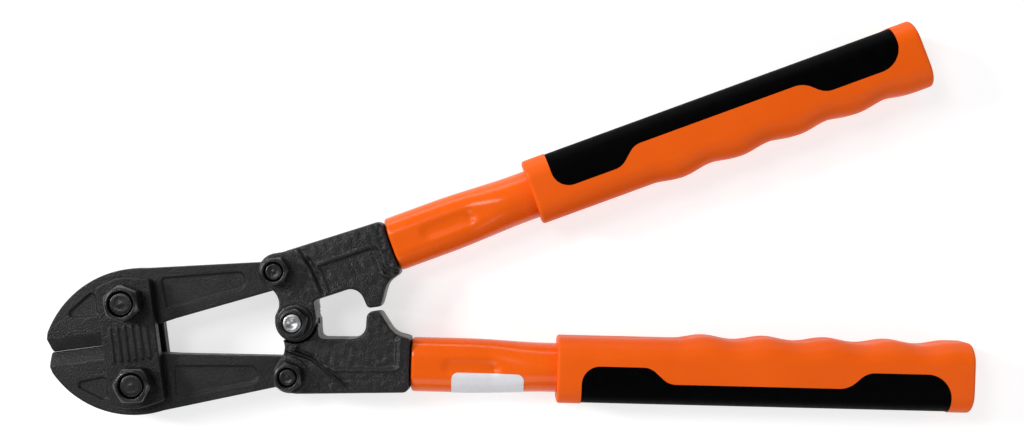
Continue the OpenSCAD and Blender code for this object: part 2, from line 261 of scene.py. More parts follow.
def loft(name, rings, side=1, looped=False):
    """Skins rings of equal point count; the ends are capped, or joined to each other."""
    n = len(rings[0])
    verts = np.concatenate([np.asarray(r, float) for r in rings])
    faces = []
    last = len(rings) if looped else len(rings) - 1
    for i in range(last):
        a, b = i * n, (i + 1) % len(rings) * n
        faces += [[a + j, a + (j + 1) % n, b + (j + 1) % n, b + j] for j in range(n)]
    if not looped:
        faces.append(list(range(n)))
        faces.append(list(range((len(rings) - 1) * n, len(rings) * n)))
    return make(name, verts, faces, side)


def finish_piece(ob, body, slot, material, *nodes):
    """Gives a piece its material and its body, and hides the CAD nodes that it stands for; slot is not
    used.
    """
    ob.data.materials.clear()
    ob.data.materials.append(material)
    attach(ob, body)
    if nodes:
        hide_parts(*nodes)
    return ob


# ---------------------------------------------------------------- materials

def shader(name, **sockets):
    """A new material; a socket's name is written with underscores for its spaces."""
    m = bpy.data.materials.new(name)
    m.use_nodes = True
    bsdf = m.node_tree.nodes["Principled BSDF"]
    for key, value in sockets.items():
        bsdf.inputs[key.replace("_", " ")].default_value = value
    return m, m.node_tree.nodes, m.node_tree.links, bsdf


def add(nodes, kind, **settings):
    """A new node; a setting is an input's value, or else a property of the node."""
    node = nodes.new(kind)
    for key, value in settings.items():
        if key in node.inputs.keys() or key.replace("_", " ") in node.inputs.keys():
            node.inputs[key.replace("_", " ")].default_value = value
        else:
            setattr(node, key, value)
    return node


def noise(nodes, links, scale, detail=4.0, rough=0.55):
    where = nodes.get("where") or add(nodes, "ShaderNodeTexCoord", name="where")
    tex = add(nodes, "ShaderNodeTexNoise", Scale=scale, Detail=detail, Roughness=rough)
    links.new(where.outputs["Object"], tex.inputs["Vector"])
    return tex.outputs["Fac"]


def ramp(nodes, links, source, stops):
    node = add(nodes, "ShaderNodeValToRGB")
    el = node.color_ramp.elements
    while len(el) < len(stops):
        el.new(0.5)
    for e, (at, colour) in zip(el, stops):
        e.position = at
        e.color = (*colour, 1)
    links.new(source, node.inputs["Fac"])
    return node.outputs["Color"]


def bump(nodes, links, height, strength, distance, before=None):
    node = add(nodes, "ShaderNodeBump", Strength=strength, Distance=distance)
    links.new(height, node.inputs["Height"])
    if before is not None:
        links.new(before, node.inputs["Normal"])
    return node.outputs["Normal"]


def grey(value, tint=0.0):
    return (value, value * (1 + 0.01 * tint), value * (1 + 0.03 * tint))


def black_metal(name, base, spread, roughness, grain, depth, coarse, gleam):
    """Black coated metal, uneven in tone and gloss, with fine grain over a coarser pitted skin.

    base is the mean tone and spread how far it varies, grain the scale of the fine noise, depth and
    coarse the strengths of the fine and the coarse bump, and gleam the specular level.
    """
    m, nodes, links, bsdf = shader(name, Roughness=roughness, Metallic=0.0, Specular_IOR_Level=gleam)
    tones = ((0.36, base * (1 - spread)), (0.50, base), (0.66, base * (1 + 3 * spread)))
    tone = noise(nodes, links, grain * 0.55, 5.0, 0.7)
    colour = ramp(nodes, links, tone, [(at, grey(value, 1)) for at, value in tones])
    links.new(colour, bsdf.inputs["Base Color"])
    low, high = max(roughness - 0.08, 0.05), min(roughness + 0.1, 1)
    gloss = noise(nodes, links, grain * 0.12, 3.0)
    gloss = ramp(nodes, links, gloss, [(0.3, (low,) * 3), (0.7, (high,) * 3)])
    links.new(gloss, bsdf.inputs["Roughness"])
    pits = bump(nodes, links, noise(nodes, links, grain * 0.16, 3.0, 0.6), coarse, 0.0004)
    skin = bump(nodes, links, noise(nodes, links, grain, 2.0, 0.5), depth, 0.00027, pits)
    links.new(skin, bsdf.inputs["Normal"])
    return m


def surface(name, tone, gloss=None, skin=None, **sockets):
    """A material of noises, each given as its scale, its detail and the two values it drives.

    tone runs between two colours, gloss between two roughnesses; skin's values are a bump's
    strength and distance.
    """
    m, nodes, links, bsdf = shader(name, **sockets)
    scale, detail, dark, light = tone
    colour = ramp(nodes, links, noise(nodes, links, scale, detail), [(0.3, dark), (0.7, light)])
    links.new(colour, bsdf.inputs["Base Color"])
    if gloss:
        scale, detail, low, high = gloss
        stops = [(0.3, (low,) * 3), (0.7, (high,) * 3)]
        rough = ramp(nodes, links, noise(nodes, links, scale, detail), stops)
        links.new(rough, bsdf.inputs["Roughness"])
    if skin:
        scale, detail, strength, distance = skin
        normal = bump(nodes, links, noise(nodes, links, scale, detail), strength, distance)
        links.new(normal, bsdf.inputs["Normal"])
    return m


M_JAW = black_metal("jaw_black", 0.005, 0.4, 0.42, 2100, 0.8, 0.03, 0.28)
M_STRAP = black_metal("strap_black", 0.003, 0.4, 0.40, 2100, 0.8, 0.03, 0.27)
M_CAST = black_metal("cast_black", 0.003, 0.4, 0.34, 2100, 1.0, 0.03, 0.36)
M_NUT = black_metal("fastener_black", 0.003, 0.3, 0.28, 1900, 0.3, 0.05, 0.5)
M_BRIGHT = surface(
    "bright_steel", tone=(900, 3.0, (0.22, 0.225, 0.24), (0.55, 0.55, 0.56)),
    skin=(700, 3.0, 0.3, 0.00015), Metallic=1.0, Roughness=0.38)
M_TUBE = surface(
    "tube_orange", tone=(60, 3.0, (0.71, 0.090, 0.001), (0.76, 0.102, 0.002)),
    gloss=(220, 4.0, 0.2, 0.32), skin=(420, 2.0, 0.05, 0.0003),
    Roughness=0.2, Specular_IOR_Level=0.15, Coat_Weight=0.25, Coat_Roughness=0.12)
M_GRIP = surface(
    "grip_orange", tone=(45, 3.0, (0.71, 0.090, 0.001), (0.75, 0.100, 0.002)),
    gloss=(160, 4.0, 0.4, 0.52), skin=(1800, 3.0, 0.12, 0.0001),
    Roughness=0.45, Specular_IOR_Level=0.15)
M_INLAY = surface(
    "inlay_black", tone=(300, 4.0, (0.0003, 0.0003, 0.0004), (0.0007, 0.0008, 0.0011)),
    gloss=(500, 4.0, 0.42, 0.56), skin=(2600, 3.0, 0.25, 0.0001),
    Roughness=0.5, Specular_IOR_Level=0.02)
M_LABEL = surface(
    "label_paper", tone=(500, 4.0, (0.61, 0.60, 0.63), (0.65, 0.64, 0.67)),
    skin=(900, 3.0, 0.06, 0.0001), Roughness=0.42)


# ---------------------------------------------------------------- jaws

JAW_HALF = 3.0
POCKET_DEPTH = 0.7
# How deep the forgings' uneven skin is
SKIN = 0.03
# The cutting edges, which all but meet: how far off the axis, where they end at the back, and half
# the thickness left along them; above them the bevel reaches full thickness at BEVEL_TOP
EDGE_Y, EDGE_BACK = 0.03, -61.9
LAND = 0.4
BEVEL_TOP = 4.5
# The upper jaw's bore is this much wider, towards the axis, as the linkage is open at that pivot
OPEN_PLAY = 2.5
# The rounded back of the jaw, and the eye at the end of its tail
BACK_CENTRE, BACK_R, TAIL_R = (-53.9, -8.5), 32.9, 5.6
UPPER_NOSE = [(-82.5, EDGE_Y), (-83.0, 1.5), (-83.5, 4.7)]
LOWER_NOSE = [(-83.1, EDGE_Y), (-83.4, 1.5), (-83.7, 4.5)]


def jaw_outline(nose):
    """A jaw from above, on the upper side of the head."""
    return np.concatenate([
        [[EDGE_BACK, EDGE_Y]], nose,
        arc(BACK_CENTRE, BACK_R, 152.5, 80, 40),
        arc(LEVER_PIVOT, TAIL_R, 142, -70, 30),
        [[-3.4, 11.5], [-40.7, 5.9], [-60.4, 2.1]],
    ])


NOSE_POCKET = rounded([(-77.2, 11.1, 1.2), (-65.6, 10.2, 1.2), (-65.6, 18.9, 1.2)])
TAIL_POCKET = rounded([(-43.2, 19.9, 1), (-42.4, 9.6, 1), (-15.4, 13.2, 2.4), (-15.4, 18.5, 2.4)])


def jaw_field(nose, play):
    """A jaw; play widens its bore for the pivot in the straps."""
    def field(X, Y, Z):
        X, Y = X[:, :, 0], Y[:, :, 0]
        outline = polygon(jaw_outline(nose), X, Y)
        # The forging's skin waves slightly; the ground bevels are flat
        ground = step01(-61.4, -62.2, X) * step01(4.9, 4.3, Y)
        h = JAW_HALF - SKIN + SKIN * ripple(X, Y, 9, 3) * (1 - ground)
        for pocket in (NOSE_POCKET, TAIL_POCKET):
            h = h - POCKET_DEPTH * step01(0.35, -0.35, polygon(pocket, X, Y))
        bevel = LAND + (Y - EDGE_Y) * (JAW_HALF - LAND) / (BEVEL_TOP - EDGE_Y)
        h = np.where(X < EDGE_BACK, np.minimum(h, np.maximum(bevel, LAND)), h)
        bores = np.minimum(
            disc(LEVER_PIVOT, LEVER_SHANK + FREE, X, Y),
            disc(JAW_PIVOT - [0, play / 2], JAW_SHANK + FREE + play / 2, X, Y),
        )
        outline = np.maximum(outline, -bores)[:, :, None]
        # Crisp along the cutting edge and rounded elsewhere
        edge_r = 0.12 + 0.18 * step01(0.5, 2, Y)[:, :, None]
        return both(outline, np.abs(Z) - h[:, :, None], edge_r)
    return field


for hand, nose, play in ((UPPER, UPPER_NOSE, OPEN_PLAY), (LOWER, LOWER_NOSE, 0.0)):
    body = hand["name"] + "_jaw"
    jaw = field_mesh(body + "_forging", jaw_field(nose, play), (-84, 0, -3), (2, 25, 3),
                     step=0.27, side=hand["side"])
    finish_piece(jaw, body, "jaw_steel", M_JAW, body)


# ---------------------------------------------------------------- straps

STRAP_LOW, STRAP_HIGH = 3.2, 7.3
# The corners of the strap's upper end and their radii
ENDS = [(-64, 19.5, 1.4), (-56.4, 22.3, 16), (-45.9, 20.1, 1.4)]
STRAP = rounded(ENDS + [(x, -y, r) for x, y, r in ENDS[::-1]], 10)
STRAP_EDGE = 0.35
# Plain ribs across the strap's middle
RIB_COUNT, RIB_PITCH, RIB_MID = 6, 2.4, -54.8
RIB_HALF_LENGTH, RIB_HALF_WIDTH, RIB_HEIGHT = 5.25, 0.5, 0.42


def strap_field(X, Y, Z):
    X, Y = X[:, :, 0], Y[:, :, 0]
    outline = polygon(STRAP, X, Y)
    for s in (1, -1):
        bore = disc((JAW_PIVOT[0], s * JAW_PIVOT[1]), JAW_SHANK + SNUG, X, Y)
        outline = np.maximum(outline, -bore)
    top = STRAP_HIGH - SKIN + 0.025 * ripple(X, Y, 8, 5)
    for i in range(RIB_COUNT):
        x = RIB_MID + (i - (RIB_COUNT - 1) / 2) * RIB_PITCH
        bar = np.hypot(X - x, np.maximum(np.abs(Y) - RIB_HALF_LENGTH, 0)) - RIB_HALF_WIDTH
        top = top + RIB_HEIGHT * step01(0.2, -0.25, bar)
    slab = np.maximum(Z - top[:, :, None], STRAP_LOW - Z)
    return both(outline[:, :, None], slab, STRAP_EDGE)


for name in ("front_strap", "rear_strap"):
    strap = field_mesh(name + "_plate", strap_field, (-64.5, -23, 3), (-45.5, 23, 8), step=0.25)
    # The rear strap is the front one seen from the other side
    if name == "rear_strap":
        for v in strap.data.vertices:
            v.co.z = 2 * MID * MM - v.co.z
        strap.data.flip_normals()
    finish_piece(strap, "straps", "strap_steel", M_STRAP, name)


# ---------------------------------------------------------------- levers

LEVER_HALF = 7.0
DRAFT = 0.04
EDGE_ROUND = 0.7
# Where the lever ends at the tube
COLLAR_X = 38.2
# Radii of the fork's ears, of the centre eye, and of the recess for the other lever's eye
EAR_R, EYE_R, LAP_R = 6.1, 6.8, 7.2
# The slot between the ears, and how far round it opens from the jaw tail's resting line
SLOT_R, SLOT_HALF = 6.4, 3.3
SLOT_INNER_TURN, SLOT_OUTER_TURN = 8.6, 35
# The tang inside the tube is a stadium in section
TANG_START, TANG_END = 37, 48
TANG_FLAT, TANG_R = 2.55, 4.7
PANEL_DEPTH = 0.85
CAST_SKIN = 0.07


def lug_corner(x, hand):
    """A rounded corner of the stop lug, at its distance from the head's axis."""
    a, clear = hand["angle"], hand["lug"][2]
    return (x, (clear - x * math.sin(a)) / math.cos(a) - hand["offset"], 1.7)


def lever_outline(hand, X, Y):
    """Signed distance to a lever from above: body, neck, eye and ear."""
    a = hand["angle"]
    back, belly, lug = hand["back"], hand["belly"], hand["lug"]
    ear_x = LEVER_PIVOT[0] * math.cos(a) + LEVER_PIVOT[1] * math.sin(a)
    ear_v = -LEVER_PIVOT[0] * math.sin(a) + LEVER_PIVOT[1] * math.cos(a) - hand["offset"]
    body = rounded([
        (ear_x, back[0], 2.5), (COLLAR_X, back[1], 2.4), (COLLAR_X, belly[0], 1.2),
        (lug[0] + 4.8, belly[0] - 1.5, 6), lug_corner(lug[0], hand), lug_corner(lug[1], hand),
        (lug[1] - 0.4, belly[1], 4.5), (7.8, belly[2], 1.9),
        (7.2, -hand["offset"]), (0, -hand["offset"]), (ear_x, ear_v),
    ])
    neck = np.array([(-6.2, SLIP), (7.1, SLIP), (7.1, 6), LEVER_PIVOT, (-8, LEVER_PIVOT[1])])
    d = polygon(to_head(body, hand), X, Y)
    d = np.minimum(d, np.maximum(polygon(neck, X, Y), -disc((-11, 7), 6.2, X, Y)))
    d = either(d, disc((0, 0), EYE_R, X, Y), 0.5)
    return either(d, disc(LEVER_PIVOT, EAR_R, X, Y), 0.4)


def fork_slot(X, Y):
    """The gap between the ears that the jaw's tail swings in."""
    def spun(p, degrees):
        c, s = math.cos(math.radians(degrees)), math.sin(math.radians(degrees))
        return np.array([p[0] * c - p[1] * s, p[0] * s + p[1] * c])
    inner = spun((0, -SLOT_R), SLOT_INNER_TURN)
    outer = spun((6.0, 0), SLOT_OUTER_TURN)
    wedge = np.array([
        (0, 0), inner, inner + spun((-25, 0), SLOT_INNER_TURN), (-25, 25),
        outer + spun((0, 25), SLOT_OUTER_TURN), outer,
    ]) + LEVER_PIVOT
    return np.minimum(polygon(wedge, X, Y), disc(LEVER_PIVOT, SLOT_R, X, Y))


def handle_xy(hand, X, Y):
    """Head coordinates to handle coordinates (x, v), on the upper side of the head."""
    c, s = math.cos(hand["angle"]), math.sin(hand["angle"])
    return X * c + Y * s, -X * s + Y * c - hand["offset"]


def drawn(down, strokes, x, v):
    """Adds lines to a relief, each (points, depth, width); a depth below zero is a ridge."""
    for points, depth, width in strokes:
        down = down + depth * bead(points, x, v, width)
    return down


def upper_relief(x, v):
    """How far the upper lever's faces stand below LEVER_HALF, in handle coordinates."""
    panel = polygon(rounded([
        (13.0, 1.6, 0.8), (32.3, 1.2, 1.2), (32.3, -8.8, 0.8), (35.4, -12), (30, -24), (20, -24),
        (13.0, -12, 0.5),
    ]), x, v)
    down = PANEL_DEPTH * step01(0.45, -0.45, panel)
    # The band along the top is crowned
    down = down + 0.16 * ((v - 4.9) / 3.4) ** 2 * step01(1.2, 2.6, v) * step01(9.5, 12, x)
    down = drawn(down, [
        # Two grooves and a ridge cross the lever beyond the eye
        ([(9.8, 8.6), (10.6, 4.6)], 0.30, 0.7),
        ([(10.9, 4.8), (11.7, 1.0), (11.9, -2.9), (12.0, -6.8)], 0.9, 0.9),
        ([(8.9, 8.6), (9.7, 4.6), (10.3, 1.1), (10.5, -2.9), (10.6, -6.4)], -0.35, 0.45),
        # Rims along the panel's front and top
        ([(13.4, 0.4), (13.5, -7.4)], -0.45, 0.4),
        ([(13.6, 2.5), (31.8, 2.2)], -0.22, 0.5),
        # The gutter that turns round the pad next to the tube
        ([(33.0, 0.4), (33.1, -6.2), (33.7, -7.9), (35.0, -8.7), (38.4, -8.9)], 0.9, 0.75),
    ], x, v)
    # The pad is rougher
    return down + 0.35 * step01(34.4, 35.6, x) * (0.6 + 0.5 * ripple(x, v, 2.4, 21))


def lower_relief(x, v):
    """The same for the lower lever."""
    panel = polygon(rounded([
        (12.8, 1.1, 0.8), (33.4, 0.8, 1.4), (33.4, -8.4, 0.8), (35.4, -11.3),
        (30, -24), (20, -24), (5, -10.3), (0, -4.2, 0.5), (6, -1.9, 6),
    ]), x, v)
    down = PANEL_DEPTH * step01(0.45, -0.45, panel)
    ridge = [(-1.5, -3.9), (2, -2.9), (5, -1.9), (8, 0.2), (10, 1.9), (14, 5.0), (16.6, 7.5)]
    down = drawn(down, [
        # The panel's rim, and the slanting ridge with the groove beside it
        ([(13.4, 2.0), (32.6, 1.6), (33.9, 1.2), (34.8, 0.2), (34.9, -8.2)], -0.6, 0.42),
        (ridge, -0.6, 0.4),
        ([(1.0, -4.3), (6, -2.2), (11, 1.2), (15.0, 4.4), (18.4, 7.4)], 0.40, 0.5),
    ], x, v)
    # Below the ridge the ear's lobe is cut back, and the band beyond it is grooved and crowned
    lobe = polygon(np.array([(-8, -5), (-1.5, -3.9), *ridge[2:], (17.5, 9), (10, 13), (-8, 13)]), x, v)
    down = down + 0.30 * step01(0.3, -0.5, lobe)
    down = drawn(down, [([(15.8, 5.0), (27.5, 4.7)], 0.28, 0.35)], x, v)
    return down + 0.18 * ((v - 5.2) / 3.3) ** 2 * step01(2.6, 4, v) * step01(14, 17, x)


def lever_field(hand, relief, keeps_front):
    """A lever; keeps_front says which half of the lap joint is its own."""
    def field(X, Y, Z):
        X, Y = X[:, :, 0], Y[:, :, 0]
        d = lever_outline(hand, X, Y)
        x, v = handle_xy(hand, X, Y)
        from_eye, from_ear = np.hypot(X, Y), disc(LEVER_PIVOT, 0, X, Y)
        # The faces at the two pivots are machined flat
        machined = np.maximum(step01(LAP_R, 6.5, from_eye), step01(6.4, 5.8, from_ear))
        h = LEVER_HALF - relief(x, v) * (1 - machined)
        h = h - CAST_SKIN * (1 - machined) * (1 + ripple(X, Y, 3.6, 11))
        draft = DRAFT * step01(5.5, 9, from_eye)
        wall = d[:, :, None] + draft[:, :, None] * np.abs(Z)
        solid = both(wall, np.abs(Z) - h[:, :, None], EDGE_ROUND)
        slot = np.maximum(fork_slot(X, Y)[:, :, None], np.abs(Z) - SLOT_HALF)
        solid = np.maximum(solid, -slot)
        # The half of the lap joint that the other lever's eye fills
        level = (SLIP / 2 - Z) if keeps_front else (Z + SLIP / 2)
        lap = np.maximum(disc((0, 0), LAP_R, X, Y)[:, :, None], -level)
        solid = np.maximum(solid, -lap)
        bores = np.minimum(
            disc((0, 0), LEVER_SHANK + FREE, X, Y),
            disc(LEVER_PIVOT, LEVER_SHANK + SNUG, X, Y),
        )
        solid = np.maximum(solid, -bores[:, :, None])
        tang = np.hypot(np.maximum(np.abs(v[:, :, None]) - TANG_FLAT, 0), Z) - TANG_R
        tang = np.maximum(tang, np.maximum(TANG_START - x, x - TANG_END)[:, :, None])
        return np.minimum(solid, tang)
    return field


for hand, relief, keeps_front in ((UPPER, upper_relief, True), (LOWER, lower_relief, False)):
    who = hand["name"]
    lever = field_mesh(who + "_lever_casting", lever_field(hand, relief, keeps_front),
                       (-11, -7.5, -7.2), (47, 31, 7.2), step=0.3, side=hand["side"])
    finish_piece(lever, who + "_handle", "cast_lever", M_CAST, who + "_lever")


# ---------------------------------------------------------------- fasteners

TURN = np.linspace(0, 2 * math.pi, 97)[:-1]
# How much a hexagon's corners are rounded off, and the radius of its flat faces over its width
CORNER_SOFT = 0.18
FACE_SHARE = 0.47

# A bolt's end from its shank inwards: radius, and depth below the bolt's top
JAW_TIP = [(4.0, 1.5), (3.95, 1.1), (3.66, 0.4), (3.5, 0.12), (3.3, 0.04), (2.2, 0.14),
           (1.3, 0.22), (0.8, 0.16), (0.4, 0.08), (0.05, 0.05)]
LEVER_TIP = [(3.0, 1.2), (2.95, 0.9), (2.7, 0.35), (2.5, 0.1), (2.3, 0.03), (1.7, 0.12),
             (1.2, 0.26), (0.8, 0.3), (0.4, 0.2), (0.05, 0.16)]
CENTRE_TIP = [(3.0, 1.2), (2.98, 0.5), (2.86, 0.2), (2.65, 0.04), (2.3, 0.0), (1.75, 0.03),
              (1.3, 0.3), (0.8, 0.62), (0.4, 0.7), (0.05, 0.72)]

# Width across flats, height of the nut, radius of its flat top, and radius of the shank
JAW_SIZE = {"flats": 11, "height": 6.5, "crown": 4.85, "shank": JAW_SHANK}
LEVER_SIZE = {"flats": 8.8, "height": 5, "crown": 3.95, "shank": LEVER_SHANK}

# Where the ends of the bolts are, and where the centre nut sits on its washer
JAW_BOLT_TOP = STRAP_HIGH + 6.1
LEVER_BOLT_TOP, CENTRE_BOLT_TOP = 11.6, 13.8
CENTRE_BASE = 8.4


def hexagon_radius(flats, spin):
    """Radius of a hexagon in each direction, its corners slightly rounded."""
    a = (TURN - math.radians(spin)) % (math.pi / 3) - math.pi / 6
    return np.minimum(flats / 2 / np.cos(a), flats / math.sqrt(3) - CORNER_SOFT)


def ring(at, r, z):
    """A ring round a bolt's axis, its radius and height given once or for each direction."""
    r, z = np.broadcast_to(r, TURN.shape), np.broadcast_to(z, TURN.shape)
    return np.stack([at[0] + r * np.cos(TURN), at[1] + r * np.sin(TURN), z], 1)


def make_nut(name, at, base, size, spin, body, node):
    """A chamfered hexagon nut whose top narrows to a flat ring."""
    R = hexagon_radius(size["flats"], spin)
    bore, crown = size["shank"] + SNUG, size["crown"]
    under = size["flats"] * FACE_SHARE
    rise = (R - under) * 0.5
    top = base + size["height"]
    fall = (R - crown) * 0.62
    rings = [
        ring(at, bore, base + 0.5), ring(at, bore + 0.45, base), ring(at, under - 0.1, base),
        ring(at, np.minimum(under, R), base + 0.02), ring(at, R - 0.06, base + rise + 0.04),
        ring(at, R, base + rise + 0.14), ring(at, R, top - fall - 0.12),
        ring(at, R - 0.07, top - fall), ring(at, crown + 0.12, top - 0.09), ring(at, crown, top - 0.02),
        ring(at, crown - 0.12, top), ring(at, bore + 0.42, top), ring(at, bore + 0.34, top - 0.04),
        ring(at, bore, top - 0.9),
    ]
    nut = sharpen(loft(name, rings, looped=True), 40)
    return finish_piece(nut, body, "black_fasteners", M_NUT, node)


def make_bolt(name, at, size, head_top, top, tip, spin, body, node, slot="black_fasteners",
              material=M_NUT):
    """Hexagon head with its underside on the bench, shank, and a turned end described by tip."""
    R = hexagon_radius(size["flats"], spin)
    face = size["flats"] * FACE_SHARE
    low = -MID
    rise = (R - face) * 0.5
    rings = [
        ring(at, 0.02, low + 0.25), ring(at, face * 0.55, low + 0.22), ring(at, face * 0.62, low + 0.02),
        ring(at, face * 0.68, low), ring(at, face - 0.1, low), ring(at, face, low + 0.03),
        ring(at, R - 0.06, low + rise + 0.05), ring(at, R, low + rise + 0.16),
        ring(at, R, head_top - 0.16), ring(at, R - 0.12, head_top), ring(at, size["shank"], head_top),
    ]
    rings += [ring(at, radius, top - depth) for radius, depth in tip]
    return finish_piece(sharpen(loft(name, rings), 40), body, slot, material, node)


def below(p):
    """The same place on the lower side of the head."""
    return (p[0], -p[1])


for who, at, nut_spin, bolt_spin in (
        ("upper", JAW_PIVOT, 32, 0), ("lower", below(JAW_PIVOT), -8, 30)):
    jaw = who + "_jaw"
    make_nut(jaw + "_hexnut", at, STRAP_HIGH, JAW_SIZE, nut_spin, "straps", jaw + "_nut")
    make_bolt(jaw + "_hexbolt", at, JAW_SIZE, -STRAP_HIGH, JAW_BOLT_TOP, JAW_TIP, bolt_spin,
              "straps", jaw + "_bolt")
for who, at, nut_spin, bolt_spin in (
        ("upper", LEVER_PIVOT, 0, 0), ("lower", below(LEVER_PIVOT), 30, 15)):
    lever, body = who + "_lever", who + "_handle"
    make_nut(lever + "_hexnut", at, LEVER_HALF, LEVER_SIZE, nut_spin, body, lever + "_nut")
    make_bolt(lever + "_hexbolt", at, LEVER_SIZE, -LEVER_HALF, LEVER_BOLT_TOP, LEVER_TIP, bolt_spin,
              body, lever + "_bolt")

make_nut("centre_hexnut", (0, 0), CENTRE_BASE, LEVER_SIZE, 10, "lower_handle", "centre_nut")
make_bolt("centre_hexbolt", (0, 0), LEVER_SIZE, -LEVER_HALF, CENTRE_BOLT_TOP, CENTRE_TIP, 0,
          "lower_handle", "centre_bolt", "bright_bolt", M_BRIGHT)
# Round the washer's section: radius and height
WASHER = [
    (LEVER_SHANK + SNUG, 7.35), (LEVER_SHANK + SNUG, 8.25), (3.15, 8.38), (5.5, 8.38), (5.72, 8.3),
    (5.8, 8.1), (5.8, 7.45), (5.7, 7.25), (5.5, 7.2), (3.15, 7.2),
]
washer = loft("centre_flat_washer", [ring((0, 0), r, z) for r, z in WASHER], looped=True)
finish_piece(sharpen(washer, 50), "lower_handle", "black_fasteners", M_NUT, "centre_washer")


# ---------------------------------------------------------------- tubes

def on_handle(hand, x, v, z):
    """Handle coordinates to points of the head on its upper side."""
    x, v, z = np.broadcast_arrays(x, v, z)
    p = to_head(np.stack([x.ravel(), v.ravel()], 1), hand)
    return np.stack([p[:, 0], p[:, 1], z.ravel()], 1)


# Shares of the way round a tube's or a grip's section
AROUND = np.linspace(0, 1, 145)[:-1]


def stadium(w, h):
    """Points round a stadium of half width w and half thickness h, evenly by length."""
    flat = w - h
    half = 2 * flat + math.pi * h
    s = (AROUND * 2 * half + flat) % (2 * half)
    v, z = np.zeros_like(s), np.zeros_like(s)
    for k, sign in ((0, 1), (1, -1)):
        t = s - k * half
        here = (t >= 0) & (t < half)
        on_flat = here & (t < 2 * flat)
        v[on_flat] = sign * (flat - t[on_flat])
        z[on_flat] = sign * h
        on_arc = here & (t >= 2 * flat)
        a = math.pi / 2 + (t[on_arc] - 2 * flat) / h
        v[on_arc] = sign * (-flat + h * np.cos(a))
        z[on_arc] = sign * h * np.sin(a)
    return v, z


# Radius of the round tube, and half width and half thickness where it is flattened on the tang
ROUND_R, FLAT_HALF_W, FLAT_HALF_T = 8.2, 9.1, 6.4
TUBE_START, TUBE_END, WALL = 38.4, 219.0, 1.5
# The skin lies this far inside the CAD tube's
HAIR = 0.02
CRIMP_X, CRIMP_HALF_LENGTH, CRIMP_HALF_WIDTH, CRIMP_DEPTH = 58.3, 7.0, 2.0, 0.5
DIMPLE_X, DIMPLE_R, DIMPLE_DEPTH = 66.6, 1.7, 0.35


def tube_ring(x, inset):
    """Points round the tube's section at x, moved inwards by inset."""
    w = ROUND_R + (FLAT_HALF_W - ROUND_R) * float(step01(84.0, 56.0, x))
    h = FLAT_HALF_T + (ROUND_R - FLAT_HALF_T) * float(step01(64.0, 80.0, x))
    v, z = stadium(w - HAIR - inset, h - HAIR - inset)
    # The crimp pressed into both flats locks the tube on its tang
    slot = np.hypot(v, np.maximum(abs(x - CRIMP_X) - CRIMP_HALF_LENGTH, 0)) - CRIMP_HALF_WIDTH
    dent = CRIMP_DEPTH * step01(1.5, -1.5, slot) * step01(0.3, 0.9, np.abs(z) / h)
    # and its far end is a deeper round dimple
    dimple = np.exp(-((x - DIMPLE_X) / DIMPLE_R) ** 2 - (v / DIMPLE_R) ** 2)
    dent = dent + DIMPLE_DEPTH * dimple * (np.abs(z) > 1)
    return v, z - np.sign(z) * dent


def make_tube(hand):
    who, edge = hand["name"], 0.9
    rings = []
    # The rounded front edge, the outside, and back along the bore
    for a in np.linspace(0, 90, 6):
        inset = edge * (1 - math.sin(math.radians(a)))
        rings.append((TUBE_START + edge * (1 - math.cos(math.radians(a))), inset))
    outside = [np.arange(40, 84, 0.6), np.arange(84, TUBE_END - 2, 8), [TUBE_END - 0.1]]
    rings += [(x, 0.0) for x in np.concatenate(outside)]
    rings += [(x, WALL) for x in (TUBE_END - 0.1, 200, 80, 64, 52, 44, 40)]
    rings.append((TUBE_START + 0.2, WALL - 0.05))
    points = [on_handle(hand, x, *tube_ring(x, inset)) for x, inset in rings]
    tube = sharpen(loft(who + "_handle_tube", points, hand["side"], looped=True), 50)
    return finish_piece(tube, who + "_handle", "tube_paint", M_TUBE, who + "_tube")


for hand in (UPPER, LOWER):
    make_tube(hand)


LABEL_START, LABEL_END, LABEL_CORNER = 51.9, 75.8, 2.2
# How near the handle's axis the label's two long edges come, and its points from one to the other
LABEL_V, LABEL_POINTS = 1.8, 41


def label_row(x, inset, edge_v):
    """Points across the label at x, from its front edge round the tube's outer edge to its back."""
    v, z = tube_ring(x, inset)
    turn = np.arctan2(z, v) % (2 * math.pi)
    order = np.argsort(turn)
    ang, v, z = turn[order], np.tile(v[order], 2), np.tile(z[order], 2)
    ang = np.concatenate([ang - 2 * math.pi, ang])
    span = np.linspace(-1.6, 1.6, 2001)
    covered = span[np.interp(span, ang, v) >= edge_v]
    take = np.linspace(covered[0], covered[-1], LABEL_POINTS)
    return on_handle(LOWER, x, np.interp(take, ang, v), np.interp(take, ang, z))


def make_label():
    """A blank label wrapped over the tube's outer edge, with rounded corners."""
    x0, x1, r = LABEL_START, LABEL_END, LABEL_CORNER
    corner = r * (1 - np.cos(np.radians(np.linspace(4, 90, 9))))
    xs = np.concatenate([x0 + corner, np.linspace(x0 + r, x1 - r, 30)[1:-1], x1 - corner[::-1]])
    outer, inner = [], []
    for x in xs:
        past = max(x0 + r - x, x - (x1 - r), 0)
        edge_v = LABEL_V + (r - math.sqrt(max(r * r - past * past, 0)))
        outer.append(label_row(x, -0.13, edge_v))
        inner.append(label_row(x, -0.01, edge_v))
    n, m = len(xs), LABEL_POINTS
    under = n * m
    faces = []
    for i in range(n - 1):
        for j in range(m - 1):
            a = i * m + j
            b = a + under
            faces += [[a, a + 1, a + m + 1, a + m], [b, b + m, b + m + 1, b + 1]]
    for i in range(n - 1):
        for a in (i * m, i * m + m - 1):
            faces.append([a, a + m, a + m + under, a + under])
    for j in range(m - 1):
        for a in (j, (n - 1) * m + j):
            faces.append([a, a + under, a + under + 1, a + 1])
    label = sharpen(make("blank_label", np.concatenate(outer + inner), faces, LOWER["side"]), 50)
    return finish_piece(label, "lower_handle", "label", M_LABEL, "tube_label")


make_label()


# ---------------------------------------------------------------- grips

